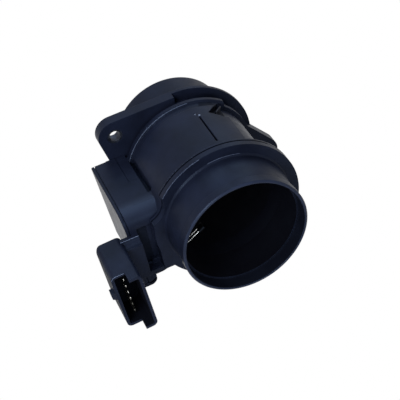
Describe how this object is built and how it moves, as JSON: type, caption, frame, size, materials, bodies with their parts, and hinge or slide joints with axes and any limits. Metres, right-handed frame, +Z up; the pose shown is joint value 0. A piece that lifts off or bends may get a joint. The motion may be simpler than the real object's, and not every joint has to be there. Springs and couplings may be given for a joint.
{
  "type": "mass airflow sensor",
  "caption": "Hot-film air flow sensor: a moulded tube with a hose spigot, two fixing ears, a side box for the electronics and a plug socket",
  "frame": {"origin": "on the tube's axis, in the rear face of the two ears, which lies on the air cleaner", "axes": "+Y along the tube towards the air cleaner, so the air flows along -Y; +Z up, with the plug socket and the box on the -X side"},
  "size_m": [0.1313, 0.113, 0.0854],
  "materials": {
    "housing_plastic": "satin black moulded plastic with a cool sheen",
    "cover_plastic": "satin black moulded plastic",
    "seal_rubber": "matte",
    "board_laminate": "green solder mask",
    "chip_plastic": "matte",
    "capacitor_body": "dull ceramic",
    "terminal_metal": "bright tin plating",
    "channel_plastic": "satin black moulded plastic",
    "film_ceramic": "smooth ceramic",
    "sensor_metal": "bright plated wire and bead",
    "grid_metal": "dull",
    "ring_steel": "bright spring wire",
    "bush_metal": "bright zinc plating"
  },
  "bodies": {
    "root": {"main_housing": "housing_plastic", "hose_spigot": "housing_plastic", "electronics_cover": "cover_plastic", "cover_seal": "seal_rubber", "circuit_board": "board_laminate", "signal_chip": "chip_plastic", "voltage_regulator": "chip_plastic", "filter_capacitor_1": "capacitor_body", "filter_capacitor_2": "capacitor_body", "filter_capacitor_3": "capacitor_body", "terminal_pin_1": "terminal_metal", "terminal_pin_2": "terminal_metal", "terminal_pin_3": "terminal_metal", "terminal_pin_4": "terminal_metal", "terminal_pin_5": "terminal_metal", "terminal_pin_6": "terminal_metal", "bypass_channel": "channel_plastic", "bypass_cover": "channel_plastic", "hot_film_plate": "film_ceramic", "temperature_sensor": "sensor_metal", "flow_grid": "grid_metal", "grid_retainer": "ring_steel", "ear_bush_left": "bush_metal", "ear_bush_right": "bush_metal", "spigot_seal": "seal_rubber"}
  },
  "joints": []
}
